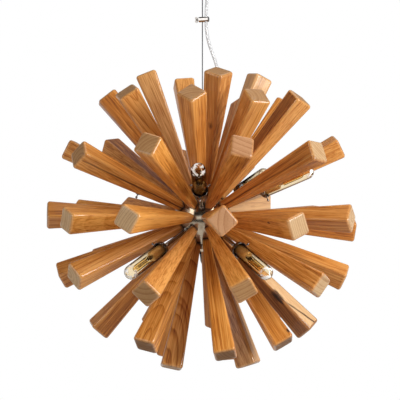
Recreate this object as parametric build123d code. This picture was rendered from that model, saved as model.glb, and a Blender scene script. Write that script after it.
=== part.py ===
from build123d import *
import os
from math import atan2, cos, degrees, pi, radians, sin, sqrt, tan

# A hanging ball of tapered wooden prongs on a chrome hub, with small glass-covered lamps between them.
# Origin: centre of the ceiling face. +Z up, the front of the lamp faces -Y. Millimetres.

# Whole lamp
HUB_DROP = 510.0              # ceiling face down to the hub centre
TIP_RADIUS = 300.0            # hub centre out to the prong tips
HUB_RADIUS = 54.9             # outside of the chrome ball
HUB_WALL = 4.0
HUB_SPLIT_HEIGHT = 11.4       # joint of cap and bowl above the hub centre, between two prong rows
SEAT_GAP = 0.1                # between a flat end and the round ball at its nearest point
FIT = 0.05                    # radial play of turned pieces in their holes
SOFT_FIT = 0.3                # radial room round the soft cord where a piece slides on it

# Prongs
PRONG_TIP_SIDE = 41.0
PRONG_ROOT_SIDE = 15.0
PRONG_LONG_EDGE = 2.6         # easing of the four long edges
PRONG_END_EDGE = 2.8          # easing round the end face

# Rows of prongs. Each prong has its azimuth (0 is the front, positive to the right), its latitude, and its
# turn about its own axis. The rows run round the ball to the right and the prongs are set by hand.
PRONG_ROWS = {
    "crown": (
        (13.0, 64.0, 42),
        (104.0, 67.0, 15),
        (-161.0, 66.5, 79),
        (-89.5, 68.5, -1),
    ),
    "upper": (
        (-5.5, 48.5, 49),
        (29.0, 47.5, 89),
        (70.0, 49.0, 56),
        (119.0, 49.0, 40),
        (153.0, 51.0, 58),
        (-173.5, 49.0, 85),
        (-125.5, 49.0, 75),
        (-85.5, 51.5, 4),
        (-47.5, 51.0, 62),
    ),
    "shoulder": (
        (14.5, 25.0, 78),
        (49.0, 24.0, -6),
        (88.0, 27.5, 19),
        (123.5, 24.0, 40),
        (159.5, 24.0, 93),
        (-167.5, 25.5, 15),
        (-131.5, 29.0, -8),
        (-96.0, 26.5, 2),
        (-54.0, 23.0, 44),
        (-20.5, 26.0, 72),
    ),
    "equator": (
        (6.5, 0.0, 41),
        (33.5, -2.0, 22),
        (66.5, 0.0, 50),
        (93.0, -4.5, 23),
        (125.0, 0.0, 4),
        (153.5, 5.0, 2),
        (-175.0, 0.0, 25),
        (-147.0, 2.5, 46),
        (-119.5, 1.5, 45),
        (-80.5, 1.0, 38),
        (-54.5, -0.5, 70),
        (-25.5, 0.5, 60),
    ),
    "skirt": (
        (15.0, -23.5, 33),
        (51.0, -23.5, 62),
        (85.5, -23.0, 30),
        (123.0, -24.0, 75),
        (159.0, -24.0, 20),
        (-165.0, -24.0, 50),
        (-129.0, -18.5, 19),
        (-89.5, -22.5, 49),
        (-56.0, -20.5, 47),
        (-21.0, -25.0, 39),
    ),
    "lower": (
        (14.0, -55.0, 19),
        (52.0, -50.5, 49),
        (84.5, -46.5, 35),
        (135.5, -44.5, 70),
        (170.5, -50.5, 26),
        (-148.0, -49.0, 64),
        (-87.0, -47.0, 70),
        (-32.5, -50.0, 73),
    ),
    "base": (
        (57.0, -69.5, -12),
        (142.0, -71.0, 68),
        (-137.5, -69.0, 45),
        (-33.0, -69.0, 53),
    ),
}

# Lamps
LAMPS_PER_RING = 5
# Rings of lamps: latitude, azimuth of the first lamp.
LAMP_RINGS = {
    "upper": (22.5, -2.0),
    "lower": (-25.0, 33.5),
}
# Lamps set by hand off their even place, as for the prongs.
LAMP_HAND_SET = {
    ("upper", 4): (0.0, 2.5),
}
COVER_SIDES = 12              # flats round the glass covers and their collars
ROD_SIDES = 10                # flats round the slim lamp pieces
STEM_RADIUS = 4.2
COLLAR_DISTANCE = 127.0       # hub centre to the underside of the collar
COLLAR_FOOT_RADIUS = 7.0
COLLAR_FLARE = 5.0            # height of the flared underside
COLLAR_FLOOR = 5.4            # underside to the seat of the glass
COLLAR_HEIGHT = 12.0
COLLAR_WALL = 1.2
GLASS_RADIUS = 13.5
GLASS_WALL = 1.6
GLASS_LENGTH = 107.0
GLASS_PLAY = 0.4              # between glass and collar all round
DOME_STEPS = (32, 64)         # angles of the rings up the glass dome
HOLDER_RADIUS = 9.6
HOLDER_LENGTH = 36.0
CAPSULE_RADIUS = 6.8
CAPSULE_LENGTH = 50.0
CAPSULE_SHOULDER = 43.0       # height where the capsule starts to close
CAPSULE_TIP_RADIUS = 2.6

# Ceiling fitting
CANOPY_RADIUS = 55.0
CANOPY_HEIGHT = 34.0
CANOPY_WALL = 1.5
CANOPY_BEVEL = 8.0
BAR_LENGTH = 96.0
BAR_WIDTH = 22.0
BAR_THICKNESS = 2.5
BAR_HOLE_RADIUS = 2.5
BAR_HOLE_SPACING = 70.0
STUB_RADIUS = 5.0
STUB_NUT_SIZE = 14.0
STUB_NUT_HEIGHT = 5.0
GRIPPER_RADIUS = 6.0
GRIPPER_LENGTH = 24.0
GRIPPER_NOSE_RADIUS = 4.4     # tapered foot of the gripper
GRIPPER_TAPER = 6.0
PLUNGER_RADIUS = 3.0
PLUNGER_LENGTH = 14.0
PLUNGER_SHOWS = 5.0
PLUNGER_TRAVEL = 2.5
GLAND_RADIUS = 6.5
GLAND_TIP_RADIUS = 4.6
GLAND_LENGTH = 12.0
GLAND_THREAD_RADIUS = 5.0
GLAND_THREAD_LENGTH = 8.0
GLAND_NUT_SIZE = 13.0
GLAND_NUT_HEIGHT = 4.0
TERMINAL_GAP = 1.0            # between terminal block and stub nut
TERMINAL_LENGTH = 26.0
TERMINAL_WIDTH = 17.0
TERMINAL_HEIGHT = 22.0

# Wire and cord
WIRE_RADIUS = 1.0
WIRE_TOP = 5.0                # end of the wire below the ceiling face, inside the stub
FERRULE_RADIUS = 2.9
FERRULE_LENGTH = 7.0
TIE_RADIUS = 5.0
TIE_BORE_RADIUS = 3.1
TIE_SHOWS = 7.0               # length of the tie tube outside the ball at each pole
BUSH_RADIUS = 6.2
BUSH_TOP_WALL = 4.7
CAP_NUT_RADIUS = 8.0
CAP_NUT_TIP_RADIUS = 4.0
CAP_NUT_WALL = 5.0
JUNCTION_RADIUS = 24.0
JUNCTION_HEIGHT = 16.0
CORD_RADIUS = 3.0
CORD_SIDES = 12               # flats round the cord
CORD_AZIMUTH = 70.0           # vertical plane of the cord
CORD_BUSH_RADIUS = 4.2
CORD_BUSH_LENGTH = 12.0
CORD_BUSH_SHOWS = 5.0
# Route of the cord: distance from the wire, height above the hub centre.
CORD_ROUTE = (
    (13.0, 485.5),
    (13.0, 447.0),
    (7.6, 408.5),
    (7.6, 350.0),
    (31.0, 292.0),
    (41.0, 237.0),
    (39.0, 172.0),
    (11.5, 88.0),
    (11.5, 50.0),
)
CORD_ARC_SHARE = 0.45         # share of the shorter run that an arc takes

# Cord clip on the wire
CLIP_HEIGHT_ABOVE_HUB = 384.0
CLIP_LENGTH = 19.5
CLIP_SIDE = 9.6
CLIP_SCREW_END = 6.8          # face of the clip on the screw side, from the wire axis
CLIP_EDGE = 2.6               # flats that make the bar eight-sided
CLIP_SCREW_RADIUS = 1.9
CLIP_SCREW_TIP_GAP = 0.3      # between screw tip and wire
WING_RADIUS = 2.7
WING_SPREAD = 2.9
WING_THICKNESS = 2.2
WING_STEM = 3.0               # bare shank between clip and wings

# Worked-out places
HUB_Z = -HUB_DROP
HUB_CENTRE = Vector(0, 0, HUB_Z)
HUB_INSIDE_RADIUS = HUB_RADIUS - HUB_WALL
PRONG_START = HUB_RADIUS + SEAT_GAP
COLLAR_INSIDE_RADIUS = GLASS_RADIUS + GLASS_PLAY
COLLAR_RADIUS = COLLAR_INSIDE_RADIUS + COLLAR_WALL
GLASS_SEAT = COLLAR_DISTANCE + COLLAR_FLOOR
CANOPY_UNDERSIDE = -CANOPY_HEIGHT
GLAND_OFFSET = CORD_ROUTE[0][0]
HUB_CORD_OFFSET = CORD_ROUTE[-1][0]


def aim(azimuth, latitude, turn=0.0):
    """Place at the hub centre whose Z looks out along a direction, turned about it."""
    across = radians(azimuth)
    up = radians(latitude)
    outward = Vector(cos(up) * sin(across), -cos(up) * cos(across), sin(up))
    east = Vector(cos(across), sin(across), 0)
    north = outward.cross(east)
    side = east * cos(radians(turn)) + north * sin(radians(turn))
    return Plane(origin=HUB_CENTRE, x_dir=side, z_dir=outward).location


def beside_wire(offset, height):
    """Point in the cord's plane, at a distance from the wire and a height above the hub centre."""
    across = radians(CORD_AZIMUTH)
    return Vector(offset * sin(across), -offset * cos(across), HUB_Z + height)


def turned(*corners):
    """Solid of revolution about Z from (radius, height) corners."""
    return revolve(Plane.XZ * make_face(Polyline(*corners, close=True)), Axis.Z)


def rod(radius, low, high):
    """Round bar on Z between two heights."""
    return Pos(0, 0, low) * Cylinder(radius, high - low, align=(Align.CENTER, Align.CENTER, Align.MIN))


def flat_sided(sides, *rings):
    """Solid with flat sides through (corner radius, height) rings on Z, each step drawn from its wide end."""
    steps = []
    for (radius, low), (next_radius, high) in zip(rings, rings[1:]):
        height = high - low
        lean = degrees(atan2(abs(radius - next_radius) * cos(pi / sides), height))
        step = extrude(RegularPolygon(max(radius, next_radius), sides), height, taper=lean)
        stand = Pos(0, 0, high) * Rot(180, 0, 0) if next_radius > radius else Pos(0, 0, low)
        steps.append(stand * step)
    return steps[0].fuse(*steps[1:]) if len(steps) > 1 else steps[0]


def hex_nut(size, height, bore):
    """Six-sided nut standing on Z = 0."""
    outline = RegularPolygon(size / 2, 6, major_radius=False) - Circle(bore)
    return extrude(outline, height)


def all_prong_places():
    """Yield (row, place) for every prong."""
    for row, prongs in PRONG_ROWS.items():
        for azimuth, latitude, turn in prongs:
            yield row, aim(azimuth, latitude, turn)


def all_lamp_places():
    """Yield the place of every lamp: a ring above the equator and a ring below it."""
    step = 360.0 / LAMPS_PER_RING
    for ring, (latitude, first) in LAMP_RINGS.items():
        for index in range(LAMPS_PER_RING):
            lean, rise = LAMP_HAND_SET.get((ring, index), (0.0, 0.0))
            yield aim(first + index * step + lean, latitude + rise)


def prong():
    """Square wooden prong with eased edges, drawn from its wide tip back to its root on the hub."""
    length = TIP_RADIUS - PRONG_START
    narrowing = degrees(atan2((PRONG_TIP_SIDE - PRONG_ROOT_SIDE) / 2, length))
    body = extrude(Rectangle(PRONG_TIP_SIDE, PRONG_TIP_SIDE), length, taper=narrowing)
    body = chamfer(body.edges().filter_by(lambda edge: edge.length >= length), PRONG_LONG_EDGE)
    body = chamfer(body.faces().sort_by(Axis.Z)[0].edges(), PRONG_END_EDGE)
    return Pos(0, 0, TIP_RADIUS) * Rot(180, 0, 0) * body


def lamp_stem():
    """Chrome stem from the ball to the underside of the collar."""
    return flat_sided(ROD_SIDES, (STEM_RADIUS, PRONG_START), (STEM_RADIUS, COLLAR_DISTANCE))


def lamp_collar():
    """Shallow chrome cup that the glass stands in, flared from a small foot."""
    rim = COLLAR_DISTANCE + COLLAR_HEIGHT
    outside = flat_sided(
        COVER_SIDES,
        (COLLAR_FOOT_RADIUS, COLLAR_DISTANCE),
        (COLLAR_RADIUS, COLLAR_DISTANCE + COLLAR_FLARE),
        (COLLAR_RADIUS, rim),
    )
    return outside - flat_sided(COVER_SIDES, (COLLAR_INSIDE_RADIUS, GLASS_SEAT), (COLLAR_INSIDE_RADIUS, rim))


def lamp_holder():
    """Socket that stands on the collar floor and carries the capsule."""
    return flat_sided(ROD_SIDES, (HOLDER_RADIUS, GLASS_SEAT), (HOLDER_RADIUS, GLASS_SEAT + HOLDER_LENGTH))


def lamp_capsule():
    """Small clear lamp on top of its socket, drawn in at the tip."""
    seat = GLASS_SEAT + HOLDER_LENGTH
    return flat_sided(
        ROD_SIDES,
        (CAPSULE_RADIUS, seat),
        (CAPSULE_RADIUS, seat + CAPSULE_SHOULDER),
        (CAPSULE_TIP_RADIUS, seat + CAPSULE_LENGTH),
    )


def domed(radius, length):
    """Solid from Z = 0 that closes in a dome of rings."""
    spring = length - radius
    dome = [(radius * cos(radians(step)), spring + radius * sin(radians(step))) for step in DOME_STEPS]
    return flat_sided(COVER_SIDES, (radius, 0), (radius, spring), *dome)


def glass_cover():
    """Clear tube with a domed end over the lamp, open at the collar."""
    inside = GLASS_RADIUS - GLASS_WALL
    bore = flat_sided(COVER_SIDES, (inside, 0), (inside, GLASS_LENGTH - GLASS_RADIUS))
    return Pos(0, 0, GLASS_SEAT) * (domed(GLASS_RADIUS, GLASS_LENGTH) - bore)


def hub_half(side):
    """Half of the hollow hub ball round the tie tube's hole: side is 1 for the cap, -1 for the bowl."""
    hole = TIE_RADIUS + FIT
    split = HUB_SPLIT_HEIGHT
    slant = side * sqrt(1 / 2)
    rim = sqrt(HUB_RADIUS**2 - split**2)
    chamber = sqrt(HUB_INSIDE_RADIUS**2 - split**2)
    pole = (hole, side * sqrt(HUB_RADIUS**2 - hole**2))
    outside = ThreePointArc((rim, split), (HUB_RADIUS * abs(slant), HUB_RADIUS * slant), pole)
    inside = [
        pole,
        (hole, side * sqrt(HUB_INSIDE_RADIUS**2 - hole**2)),
        (HUB_INSIDE_RADIUS * abs(slant), HUB_INSIDE_RADIUS * slant),
        (chamber, side * split),
        (rim, split),
    ]
    if side < 0:
        inside.insert(-1, (chamber, split))
    return Pos(HUB_CENTRE) * revolve(Plane.XZ * make_face(outside + Polyline(*inside)), Axis.Z)


def hub_cap():
    """Upper part of the hub ball, drilled for the cord bush."""
    bush_low = sqrt(HUB_INSIDE_RADIUS**2 - HUB_CORD_OFFSET**2) - 2 * HUB_WALL
    cord_hole = rod(CORD_BUSH_RADIUS + FIT, bush_low, HUB_RADIUS + HUB_WALL)
    return hub_half(1) - Pos(beside_wire(HUB_CORD_OFFSET, 0)) * cord_hole


def hub_bowl():
    """Lower part of the hub ball."""
    return hub_half(-1)


def hub_tie_tube():
    """Tube on the axis that holds the two hub shells between the wire bush and the cap nut."""
    end = HUB_RADIUS + TIE_SHOWS
    return Pos(HUB_CENTRE) * (rod(TIE_RADIUS, -end, end) - rod(TIE_BORE_RADIUS, -2 * end, 2 * end))


def wire_bush():
    """Turned cap on the top of the tie tube, with the wire's hole."""
    seat = HUB_RADIUS - SEAT_GAP
    ceiling = HUB_RADIUS + TIE_SHOWS + SEAT_GAP
    top = ceiling + BUSH_TOP_WALL
    body = turned(
        (WIRE_RADIUS + FIT, ceiling),
        (TIE_RADIUS + FIT, ceiling),
        (TIE_RADIUS + FIT, seat),
        (BUSH_RADIUS, seat),
        (BUSH_RADIUS, ceiling),
        (2 * WIRE_RADIUS, top),
        (WIRE_RADIUS + FIT, top),
    )
    return Pos(HUB_CENTRE) * body


def bottom_cap_nut():
    """Bevelled nut on the lower end of the tie tube."""
    seat = SEAT_GAP - HUB_RADIUS
    depth = -(HUB_RADIUS + TIE_SHOWS + SEAT_GAP)
    body = turned(
        (0, depth),
        (TIE_RADIUS + FIT, depth),
        (TIE_RADIUS + FIT, seat),
        (CAP_NUT_RADIUS, seat),
        (CAP_NUT_RADIUS, depth),
        (CAP_NUT_TIP_RADIUS, depth - CAP_NUT_WALL),
        (0, depth - CAP_NUT_WALL),
    )
    return Pos(HUB_CENTRE) * body


def junction_block():
    """Round terminal block on the tie tube inside the hub, where the lamp leads meet the cord."""
    ring = rod(JUNCTION_RADIUS, 0, JUNCTION_HEIGHT) - rod(TIE_RADIUS + FIT, 0, JUNCTION_HEIGHT)
    return Pos(0, 0, HUB_Z - JUNCTION_HEIGHT / 2) * ring


def suspension_wire():
    """Taut steel wire rope from the gripper down to its ferrule in the hub."""
    low = HUB_Z + HUB_RADIUS + TIE_SHOWS
    return rod(WIRE_RADIUS, low, -WIRE_TOP)


def wire_ferrule():
    """Pressed stop on the wire's lower end, inside the tie tube and under the bush."""
    top = HUB_Z + HUB_RADIUS + TIE_SHOWS
    return rod(FERRULE_RADIUS, top - FERRULE_LENGTH, top)


def power_cord():
    """Clear two-core cord from the ceiling terminals, past the clip, down into the hub."""
    points = [beside_wire(*place) for place in CORD_ROUTE]
    radii = []
    for before, here, after in zip(points, points[1:], points[2:]):
        turn = (here - before).get_angle(after - here)
        shorter = min((here - before).length, (after - here).length)
        radii.append(CORD_ARC_SHARE * shorter / tan(radians(turn / 2)))
    path = FilletPolyline(*points, radius=radii)
    section = RegularPolygon(CORD_RADIUS, CORD_SIDES)
    tube = sweep(Plane(origin=path @ 0, z_dir=path % 0) * section, path=path)
    print("cord length", round(path.length, 1))
    print("cord volume share", round(tube.volume / section.area / path.length, 4))
    print("cord radii", [round(radius) for radius in radii])
    return tube


def cord_bush():
    """Sleeve that leads the cord through the hub wall."""
    top = sqrt(HUB_RADIUS**2 - HUB_CORD_OFFSET**2) + CORD_BUSH_SHOWS
    low = top - CORD_BUSH_LENGTH
    sleeve = rod(CORD_BUSH_RADIUS, low, top) - rod(CORD_RADIUS + FIT, low, top)
    return Pos(beside_wire(HUB_CORD_OFFSET, 0)) * sleeve


def clip_place():
    """Place of the clip on the wire: X points from the wire to the cord."""
    return Pos(0, 0, HUB_Z + CLIP_HEIGHT_ABOVE_HUB) * Rot(0, 0, CORD_AZIMUTH - 90)


def cord_clip():
    """Eight-sided chrome bar that holds the cord to the wire, bored for both, with a tapped screw hole."""
    cord_offset = CORD_ROUTE[2][0]
    bar = Box(CLIP_LENGTH, CLIP_SIDE, CLIP_SIDE, align=(Align.MIN, Align.CENTER, Align.CENTER))
    bar = Pos(-CLIP_SCREW_END, 0, 0) * chamfer(bar.edges().filter_by(Axis.X), CLIP_EDGE)
    bar -= rod(WIRE_RADIUS + FIT, -CLIP_SIDE, CLIP_SIDE)
    bar -= Pos(cord_offset, 0, 0) * rod(CORD_RADIUS + SOFT_FIT, -CLIP_SIDE, CLIP_SIDE)
    bar -= Rot(0, -90, 0) * rod(CLIP_SCREW_RADIUS + FIT, 0, 2 * CLIP_SCREW_END)
    return clip_place() * bar


def clip_wing_screw():
    """Wing screw that presses on the wire."""
    neck = CLIP_SCREW_END + WING_STEM
    shank = rod(CLIP_SCREW_RADIUS, WIRE_RADIUS + CLIP_SCREW_TIP_GAP, neck + WING_RADIUS)
    wings = Pos(-WING_SPREAD, 0) * Circle(WING_RADIUS) + Pos(WING_SPREAD, 0) * Circle(WING_RADIUS)
    wings += Rectangle(2 * WING_SPREAD, WING_RADIUS)
    plate = Pos(0, 0, neck + WING_RADIUS) * Rot(90, 0, 0) * extrude(wings, WING_THICKNESS / 2, both=True)
    return clip_place() * Rot(0, -90, 0) * (shank + plate)


def ceiling_bar():
    """Steel mounting bar against the ceiling, with two screw holes and the stub's hole."""
    bar = SlotOverall(BAR_LENGTH, BAR_WIDTH) - Circle(STUB_RADIUS + FIT)
    for side in (-1, 1):
        bar -= Pos(side * BAR_HOLE_SPACING / 2, 0) * Circle(BAR_HOLE_RADIUS)
    return extrude(bar, -BAR_THICKNESS)


def canopy():
    """Bevelled chrome cup over the ceiling fitting, with holes for the gripper stub and the cord gland."""
    low = CANOPY_UNDERSIDE
    inside = CANOPY_RADIUS - CANOPY_WALL
    shift = CANOPY_WALL * (sqrt(2) - 1)
    cup = turned(
        (0, low),
        (CANOPY_RADIUS - CANOPY_BEVEL, low),
        (CANOPY_RADIUS, low + CANOPY_BEVEL),
        (CANOPY_RADIUS, 0),
        (inside, 0),
        (inside, low + CANOPY_BEVEL + shift),
        (CANOPY_RADIUS - CANOPY_BEVEL - shift, low + CANOPY_WALL),
        (0, low + CANOPY_WALL),
    )
    cup -= rod(STUB_RADIUS + FIT, 2 * low, 0)
    return cup - Pos(beside_wire(GLAND_OFFSET, HUB_DROP)) * rod(GLAND_THREAD_RADIUS + FIT, 2 * low, 0)


def gripper_body():
    """Wire gripper: a threaded stub up to the ceiling bar and a body that clamps the canopy."""
    shoulder = CANOPY_UNDERSIDE
    foot = shoulder - GRIPPER_LENGTH
    wire_hole = WIRE_RADIUS + FIT
    chamber = PLUNGER_RADIUS + FIT
    chamber_top = foot + PLUNGER_LENGTH - PLUNGER_SHOWS + PLUNGER_TRAVEL + SEAT_GAP
    return turned(
        (wire_hole, 0),
        (STUB_RADIUS, 0),
        (STUB_RADIUS, shoulder),
        (GRIPPER_RADIUS, shoulder),
        (GRIPPER_RADIUS, foot + GRIPPER_TAPER),
        (GRIPPER_NOSE_RADIUS, foot),
        (chamber, foot),
        (chamber, chamber_top),
        (wire_hole, chamber_top),
    )


def gripper_plunger():
    """Sprung release nose of the gripper, pressed up to free the wire."""
    low = CANOPY_UNDERSIDE - GRIPPER_LENGTH - PLUNGER_SHOWS
    return rod(PLUNGER_RADIUS, low, low + PLUNGER_LENGTH) - rod(WIRE_RADIUS + FIT, low, low + PLUNGER_LENGTH)


def stub_nut():
    """Nut on the gripper stub under the ceiling bar."""
    low = -BAR_THICKNESS - STUB_NUT_HEIGHT
    return Pos(0, 0, low) * hex_nut(STUB_NUT_SIZE, STUB_NUT_HEIGHT, STUB_RADIUS + FIT)


def gland_place():
    """Place of the cord gland on the canopy's underside."""
    return Pos(beside_wire(GLAND_OFFSET, HUB_DROP + CANOPY_UNDERSIDE))


def cord_gland():
    """Gland that leads the cord out of the canopy and grips it."""
    return gland_place() * turned(
        (CORD_RADIUS + FIT, -GLAND_LENGTH),
        (GLAND_TIP_RADIUS, -GLAND_LENGTH),
        (GLAND_RADIUS, -GLAND_LENGTH / 2),
        (GLAND_RADIUS, 0),
        (GLAND_THREAD_RADIUS, 0),
        (GLAND_THREAD_RADIUS, GLAND_THREAD_LENGTH),
        (CORD_RADIUS + FIT, GLAND_THREAD_LENGTH),
    )


def gland_nut():
    """Nut that holds the gland from inside the canopy."""
    nut = hex_nut(GLAND_NUT_SIZE, GLAND_NUT_HEIGHT, GLAND_THREAD_RADIUS + FIT)
    return gland_place() * Pos(0, 0, CANOPY_WALL) * nut


def terminal_block():
    """Terminal block under the ceiling bar, where the cord meets the house wiring."""
    start = beside_wire(*CORD_ROUTE[0])
    corner = STUB_NUT_SIZE / sqrt(3)
    middle = max(start.X, corner + TERMINAL_GAP + TERMINAL_LENGTH / 2)
    hung = (Align.CENTER, Align.CENTER, Align.MAX)
    block = Box(TERMINAL_LENGTH, TERMINAL_WIDTH, TERMINAL_HEIGHT, align=hung)
    return Pos(middle, start.Y / 2, -BAR_THICKNESS) * block


def write(name, *solids):
    """Write one node, a single solid or a group of separate ones."""
    shape = solids[0] if len(solids) == 1 else Compound(children=list(solids))
    export_step(shape, f"parts/{name}.step")


def main():
    os.makedirs("parts", exist_ok=True)

    wood = prong()
    rows = {}
    for row, place in all_prong_places():
        rows.setdefault(row, []).append(place * wood)
    for row, prongs in rows.items():
        write(f"{row}_prongs", *prongs)

    lamp_pieces = {
        "lamp_stems": lamp_stem(),
        "lamp_collars": lamp_collar(),
        "lamp_holders": lamp_holder(),
        "lamp_capsules": lamp_capsule(),
        "glass_covers": glass_cover(),
    }
    for name, piece in lamp_pieces.items():
        write(name, *[place * piece for place in all_lamp_places()])

    for piece in (
        hub_cap,
        hub_bowl,
        hub_tie_tube,
        wire_bush,
        bottom_cap_nut,
        junction_block,
        suspension_wire,
        wire_ferrule,
        power_cord,
        cord_bush,
        cord_clip,
        clip_wing_screw,
        ceiling_bar,
        canopy,
        gripper_body,
        gripper_plunger,
        stub_nut,
        cord_gland,
        gland_nut,
        terminal_block,
    ):
        write(piece.__name__, piece())


main()
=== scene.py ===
"""Looks of a hanging lamp: a ball of tapered wooden prongs on a chrome hub, with small glass-covered lamps
between them, hung from the ceiling on a steel wire with a clear cord beside it."""

import bpy
import numpy as np
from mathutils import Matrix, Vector


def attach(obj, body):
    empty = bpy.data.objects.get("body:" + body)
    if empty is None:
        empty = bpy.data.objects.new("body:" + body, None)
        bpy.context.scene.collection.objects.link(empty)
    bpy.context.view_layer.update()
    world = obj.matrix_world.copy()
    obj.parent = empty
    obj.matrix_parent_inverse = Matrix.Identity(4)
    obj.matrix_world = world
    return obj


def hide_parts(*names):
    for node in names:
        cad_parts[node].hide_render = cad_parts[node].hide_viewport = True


bl_info = {
    "name": "Wooden prong pendant",
    "version": (1, 0, 0),
    "blender": (4, 5, 0),
    "location": "View3D > Sidebar > Pendant",
    "description": "Dresses the packed pendant with wood, chrome, glass and its cord",
    "category": "Object",
}

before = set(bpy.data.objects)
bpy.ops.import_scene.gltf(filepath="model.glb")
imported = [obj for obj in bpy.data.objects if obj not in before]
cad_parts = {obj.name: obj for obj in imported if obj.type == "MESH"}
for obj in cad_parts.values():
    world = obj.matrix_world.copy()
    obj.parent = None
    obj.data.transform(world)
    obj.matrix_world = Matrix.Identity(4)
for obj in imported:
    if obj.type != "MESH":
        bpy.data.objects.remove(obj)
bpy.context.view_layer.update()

# Places, in metres. The hub's centre hangs below the ceiling face, which is the origin.
HUB = np.array([0.0, 0.0, -0.510])
PRONG_START = 0.055
TIP_RADIUS = 0.300
# Rows of prongs: azimuth (0 is the front), latitude and turn about its own axis of each prong.
PRONG_ROWS = {
    "crown": (
        (13, 64, 42), (104, 67, 15), (-161, 66.5, 79), (-89.5, 68.5, -1),
    ),
    "upper": (
        (-5.5, 48.5, 49), (29, 47.5, 89), (70, 49, 56), (119, 49, 40), (153, 51, 58),
        (-173.5, 49, 85), (-125.5, 49, 75), (-85.5, 51.5, 4), (-47.5, 51, 62),
    ),
    "shoulder": (
        (14.5, 25, 78), (49, 24, -6), (88, 27.5, 19), (123.5, 24, 40), (159.5, 24, 93),
        (-167.5, 25.5, 15), (-131.5, 29, -8), (-96, 26.5, 2), (-54, 23, 44), (-20.5, 26, 72),
    ),
    "equator": (
        (6.5, 0, 41), (33.5, -2, 22), (66.5, 0, 50), (93, -4.5, 23), (125, 0, 4),
        (153.5, 5, 2), (-175, 0, 25), (-147, 2.5, 46), (-119.5, 1.5, 45), (-80.5, 1, 38),
        (-54.5, -0.5, 70), (-25.5, 0.5, 60),
    ),
    "skirt": (
        (15, -23.5, 33), (51, -23.5, 62), (85.5, -23, 30), (123, -24, 75), (159, -24, 20),
        (-165, -24, 50), (-129, -18.5, 19), (-89.5, -22.5, 49), (-56, -20.5, 47), (-21, -25, 39),
    ),
    "lower": (
        (14, -55, 19), (52, -50.5, 49), (84.5, -46.5, 35), (135.5, -44.5, 70), (170.5, -50.5, 26),
        (-148, -49, 64), (-87, -47, 70), (-32.5, -50, 73),
    ),
    "base": (
        (57, -69.5, -12), (142, -71, 68), (-137.5, -69, 45), (-33, -69, 53),
    ),
}
# Rings of lamps: latitude and azimuth of the first, and changes of azimuth and latitude made to single lamps.
LAMP_RINGS = {"upper": (22.5, -2.0), "lower": (-25.0, 33.5)}
LAMPS_PER_RING = 5
LAMP_HAND_SET = {("upper", 4): (0.0, 2.5)}
# Heights along a lamp's axis from the hub centre.
FOOT_NUT_TOP = 0.0592
STEM_TOP = 0.1245
COLLAR_FOOT = 0.127
COLLAR_SHOULDER = 0.1318
GLASS_SEAT = 0.1324
COLLAR_RIM = 0.139
HOLDER_TOP = 0.1684
PRESS_TOP = HOLDER_TOP + 0.0072
CAPSULE_TOP = 0.2184
GLASS_TOP = 0.2394
# Radii and steps of a lamp's small parts.
AXIS_RING = 0.0005
FOOT_NUT_RADIUS = 0.0052
STEM_BEVEL = 0.0010
STEM_HEAD_RADIUS = 0.0058
COLLAR_FOOT_RADIUS = 0.0072
GLASS_PLAY = 0.0004
SEAT_GAP = 0.0001
SCREW_SHANK = 0.0011
SCREW_BALL_PLACE = 0.0066
SCREW_BELOW_RIM = 0.0034
SCREW_SPINS = (30, 150, 270)
# Height over which a cover's painted glints fade in about the start of its dome.
GLINT_FADE = 0.008
GLASS_FOOT_ROUND = 0.0004
SOCKET_AXIS_RING = 0.0003
SOCKET_NECK_STEP = 0.0012
CAPSULE_WALL = 0.0008
LEAD_PLACE = 0.0026
LEAD_RADIUS = 0.00055
LEAD_HEIGHT = 0.006
# The two nested loops of a filament: half width and height at which the bend starts.
FILAMENT_LOOPS = ((0.0042, 0.2072), (0.0016, 0.2040))
FILAMENT_RADIUS = 0.00050
# Route of the cord in its vertical plane: distance from the wire, height above the hub centre.
CORD_AZIMUTH = 70.0
CORD_ROUTE = (
    (0.013, 0.4855), (0.013, 0.447), (0.0076, 0.4085), (0.0076, 0.350), (0.031, 0.292), (0.041, 0.237),
    (0.039, 0.172), (0.0115, 0.088), (0.0115, 0.050),
)
# Length of one twist of the cord's two cores, and their distance from its middle.
CORE_TWIST = 0.020
CORE_SWING = 0.00125
WIRE_TOP = -0.005
WIRE_BOTTOM = HUB[2] + 0.0619
WIRE_HEIGHTS = (WIRE_TOP, -0.15, -0.30, WIRE_BOTTOM)
# Soft lights that look at the hub: place, size and power.
PANELS = {
    "left_panel": ((-1.9, -1.7, 0.30), (1.1, 1.6), 17.0),
    "right_panel": ((2.15, -1.55, 0.25), (1.2, 1.6), 77.0),
    "top_panel": ((0.3, 0.2, 1.3), (1.6, 1.6), 9.0),
}
FLOOR_HALF_SIDE = 6.2
SENSOR_WIDTH = 36.0
CAMERA_SHIFT = (-0.006, 0.043)
WHITE = (1.0, 1.0, 1.0)


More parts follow.
